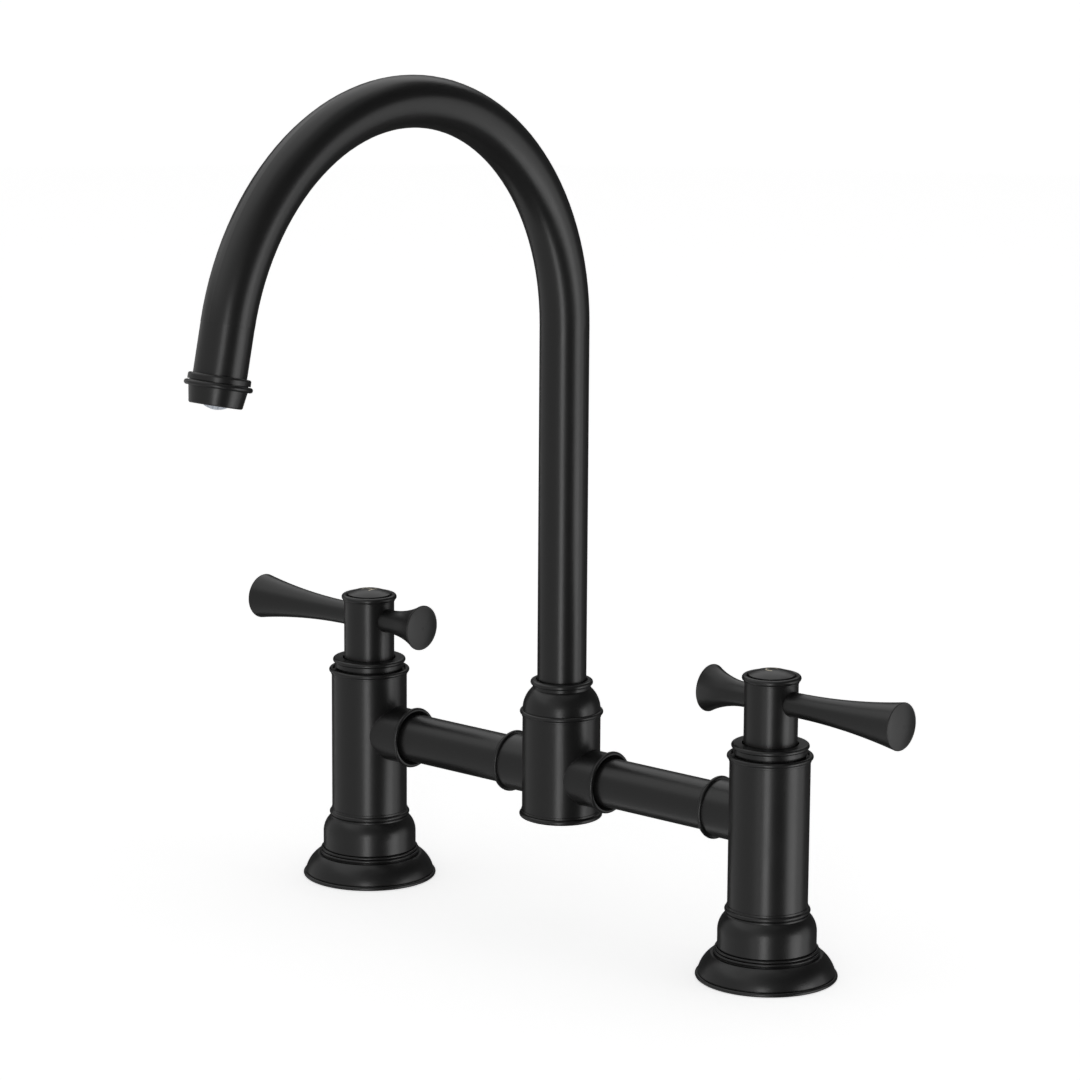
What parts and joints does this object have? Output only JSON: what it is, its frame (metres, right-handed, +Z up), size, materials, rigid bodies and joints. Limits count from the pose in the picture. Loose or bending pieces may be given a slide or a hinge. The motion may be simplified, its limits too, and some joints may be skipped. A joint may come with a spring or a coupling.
{
  "type": "bridge mixer tap",
  "caption": "Deck-mounted kitchen mixer with turned pillars, quarter-turn lever handles, a bridge and a tall swivelling gooseneck spout, all in matte black.",
  "frame": {"origin": "on the deck, under the vertical axis about which the spout turns", "axes": "+Z up, -Y towards the user, +X from the hot pillar to the cold one"},
  "size_m": [0.3738, 0.2584, 0.3893],
  "materials": {
    "matte_black": "satin matte black coating on brass",
    "brass": "machined, bare",
    "rubber": "moulded",
    "ceramic": "lapped",
    "acetal": "turned",
    "steel": "stainless",
    "frosted_plastic": "moulded, slightly translucent"
  },
  "bodies": {
    "body": {"hot_base_flange": "matte_black", "hot_base_gasket": "rubber", "hot_bell": "matte_black", "hot_pillar": "matte_black", "hot_collar": "matte_black", "hot_cartridge": "brass", "hot_cartridge_o_ring": "rubber", "hot_valve_seal": "rubber", "hot_fixed_disc": "ceramic", "cold_base_flange": "matte_black", "cold_base_gasket": "rubber", "cold_bell": "matte_black", "cold_pillar": "matte_black", "cold_collar": "matte_black", "cold_cartridge": "brass", "cold_cartridge_o_ring": "rubber", "cold_valve_seal": "rubber", "cold_fixed_disc": "ceramic", "centre_body": "matte_black", "bottom_cap": "matte_black", "bottom_cap_o_ring": "rubber", "left_bridge_tube": "matte_black", "right_bridge_tube": "matte_black", "bridge_o_rings": "rubber", "swivel_nut": "matte_black", "lower_bearing_ring": "acetal", "upper_bearing_ring": "acetal"},
    "hot_handle": {"hot_moving_disc": "ceramic", "hot_spindle": "brass", "hot_spindle_o_ring": "rubber", "hot_hub": "matte_black", "hot_long_lever": "matte_black", "hot_short_lever": "matte_black", "hot_handle_screw": "steel", "hot_index_cap": "matte_black"},
    "cold_handle": {"cold_moving_disc": "ceramic", "cold_spindle": "brass", "cold_spindle_o_ring": "rubber", "cold_hub": "matte_black", "cold_long_lever": "matte_black", "cold_short_lever": "matte_black", "cold_handle_screw": "steel", "cold_index_cap": "matte_black"},
    "spout": {"spout_stem": "brass", "stem_o_rings": "rubber", "spout_tube": "matte_black", "nozzle": "matte_black", "aerator_washer": "rubber", "aerator_screen": "steel", "aerator_housing": "frosted_plastic", "aerator_insert": "frosted_plastic"}
  },
  "joints": [
    {"name": "spout_swivel", "type": "hinge", "parent": "body", "child": "spout", "pos_m": [0, 0, 0.1], "axis": [0, 0, 1], "continuous": true},
    {"name": "hot_lever", "type": "hinge", "parent": "body", "child": "hot_handle", "pos_m": [-0.1175, 0, 0.1], "axis": [0, 0, 1], "range_deg": [0, 90]},
    {"name": "cold_lever", "type": "hinge", "parent": "body", "child": "cold_handle", "pos_m": [0.1175, 0, 0.1], "axis": [0, 0, 1], "range_deg": [-90, 0]}
  ]
}
